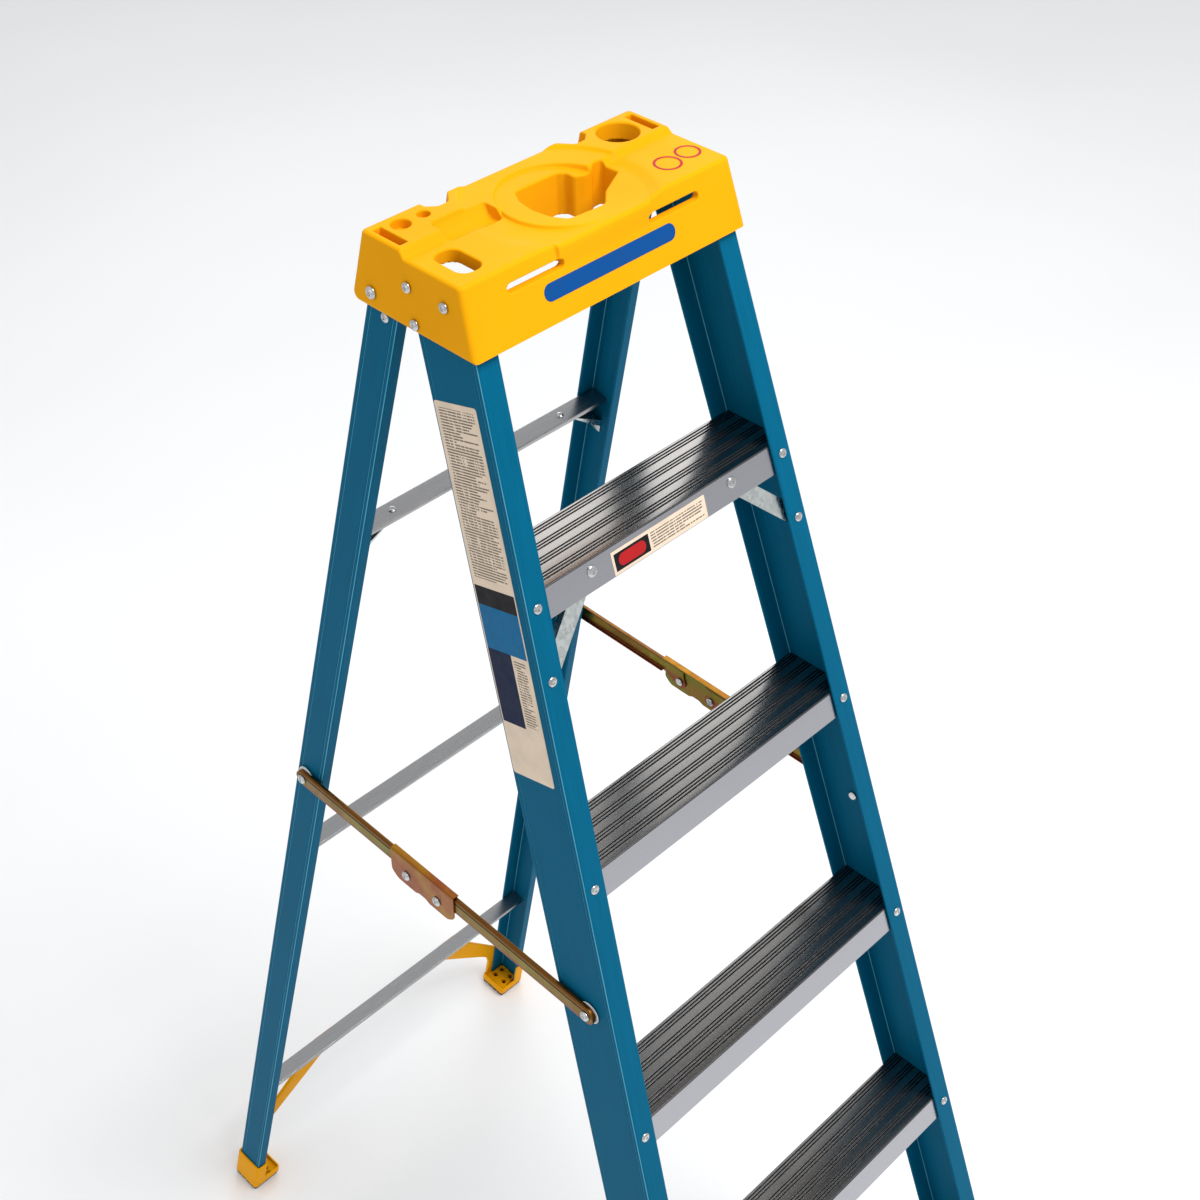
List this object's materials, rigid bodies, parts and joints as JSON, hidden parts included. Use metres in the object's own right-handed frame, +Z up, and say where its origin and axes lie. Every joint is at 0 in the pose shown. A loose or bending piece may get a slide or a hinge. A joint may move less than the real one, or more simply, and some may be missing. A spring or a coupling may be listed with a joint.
{
  "type": "step ladder",
  "caption": "Folding fibreglass step ladder: flat ribbed steps on a front frame, a moulded tool cap, a hinged rear frame and locking spreader arms.",
  "frame": {"origin": "on the floor, at the middle of the open ladder's footprint", "axes": "+Z up, -Y the climbing side, +X to the right of a person facing the steps"},
  "size_m": [0.5576, 1.0704, 1.756],
  "materials": {
    "cap_plastic": "moulded yellow plastic, satin, with a fine grain",
    "fibreglass": "pultruded blue-teal fibreglass, satin, faint lengthwise streaks",
    "step_aluminium": "extruded aluminium, brushed along its length, ribbed tread",
    "bar_aluminium": "extruded aluminium, mill finish",
    "galvanised_steel": "galvanised steel",
    "yellow_zinc": "yellow chromate zinc plating with green and red iridescence",
    "rivet_steel": "bright domed rivets",
    "foot_rubber": "black ribbed rubber",
    "washer_nylon": "white nylon",
    "label_film": "printed vinyl film, plain colour fields with no lettering"
  },
  "bodies": {
    "front_frame": {"top_cap": "cap_plastic", "front_rail_left": "fibreglass", "front_rail_right": "fibreglass", "step_1": "step_aluminium", "step_2": "step_aluminium", "step_3": "step_aluminium", "step_4": "step_aluminium", "step_5": "step_aluminium", "step_1_brace_left": "galvanised_steel", "step_1_brace_right": "galvanised_steel", "step_5_brace_left": "galvanised_steel", "step_5_brace_right": "galvanised_steel", "front_foot_left": "cap_plastic", "front_foot_right": "cap_plastic", "front_foot_pad_left": "foot_rubber", "front_foot_pad_right": "foot_rubber", "cap_rivet_front_left": "rivet_steel", "cap_rivet_front_right": "rivet_steel", "cap_rivet_rear_left": "rivet_steel", "cap_rivet_rear_right": "rivet_steel", "cap_rivet_low_left": "rivet_steel", "cap_rivet_low_right": "rivet_steel", "hinge_rivet_left": "rivet_steel", "hinge_rivet_right": "rivet_steel", "spreader_front_rivet_left": "rivet_steel", "spreader_front_rivet_right": "rivet_steel", "spreader_front_washer_left": "washer_nylon", "spreader_front_washer_right": "washer_nylon", "rail_label": "label_film", "step_label": "label_film"},
    "rear_frame": {"rear_rail_left": "fibreglass", "rear_rail_right": "fibreglass", "rear_bar_low": "bar_aluminium", "rear_bar_middle": "bar_aluminium", "rear_bar_top": "bar_aluminium", "rear_brace_left": "galvanised_steel", "rear_brace_right": "galvanised_steel", "rear_foot_left": "cap_plastic", "rear_foot_right": "cap_plastic", "rear_foot_pad_left": "foot_rubber", "rear_foot_pad_right": "foot_rubber"},
    "left_front_arm": {"spreader_front_arm_left": "yellow_zinc"},
    "left_link": {"spreader_link_left": "yellow_zinc", "spreader_link_rivet_front_left": "rivet_steel", "spreader_link_rivet_rear_left": "rivet_steel"},
    "left_rear_arm": {"spreader_rear_arm_left": "yellow_zinc", "spreader_rear_rivet_left": "rivet_steel", "spreader_rear_washer_left": "washer_nylon"},
    "right_front_arm": {"spreader_front_arm_right": "yellow_zinc"},
    "right_link": {"spreader_link_right": "yellow_zinc", "spreader_link_rivet_front_right": "rivet_steel", "spreader_link_rivet_rear_right": "rivet_steel"},
    "right_rear_arm": {"spreader_rear_arm_right": "yellow_zinc", "spreader_rear_rivet_right": "rivet_steel", "spreader_rear_washer_right": "washer_nylon"}
  },
  "joints": [
    {"name": "rear_fold", "type": "hinge", "parent": "front_frame", "child": "rear_frame", "pos_m": [0, 0.0858, 1.6995], "axis": [-1, 0, 0], "range_deg": [0, 30]},
    {"name": "left_arm_fold", "type": "hinge", "parent": "front_frame", "child": "left_front_arm", "pos_m": [-0.2149, -0.2083, 1.0015], "axis": [1, 0, 0], "range_deg": [0, 78.1]},
    {"name": "left_link_fold", "type": "hinge", "parent": "left_front_arm", "child": "left_link", "pos_m": [-0.2149, 0.019, 0.98953], "axis": [-1, 0, 0], "range_deg": [0, 105.5]},
    {"name": "left_rear_arm_fold", "type": "hinge", "parent": "left_link", "child": "left_rear_arm", "pos_m": [-0.2149, 0.07, 0.98968], "axis": [-1, 0, 0], "range_deg": [0, 69.7]},
    {"name": "right_arm_fold", "type": "hinge", "parent": "front_frame", "child": "right_front_arm", "pos_m": [0.2149, -0.2083, 1.0015], "axis": [1, 0, 0], "range_deg": [0, 78.1]},
    {"name": "right_link_fold", "type": "hinge", "parent": "right_front_arm", "child": "right_link", "pos_m": [0.2149, 0.019, 0.98953], "axis": [-1, 0, 0], "range_deg": [0, 105.5]},
    {"name": "right_rear_arm_fold", "type": "hinge", "parent": "right_link", "child": "right_rear_arm", "pos_m": [0.2149, 0.07, 0.98968], "axis": [-1, 0, 0], "range_deg": [0, 69.7]}
  ],
  "couplings": [
    {"joint": "left_arm_fold", "follows": "rear_fold", "ratio": 2.6004},
    {"joint": "left_link_fold", "follows": "rear_fold", "ratio": 3.5125},
    {"joint": "left_rear_arm_fold", "follows": "rear_fold", "ratio": 2.3203},
    {"joint": "right_arm_fold", "follows": "rear_fold", "ratio": 2.6004},
    {"joint": "right_link_fold", "follows": "rear_fold", "ratio": 3.5125},
    {"joint": "right_rear_arm_fold", "follows": "rear_fold", "ratio": 2.3203}
  ]
}
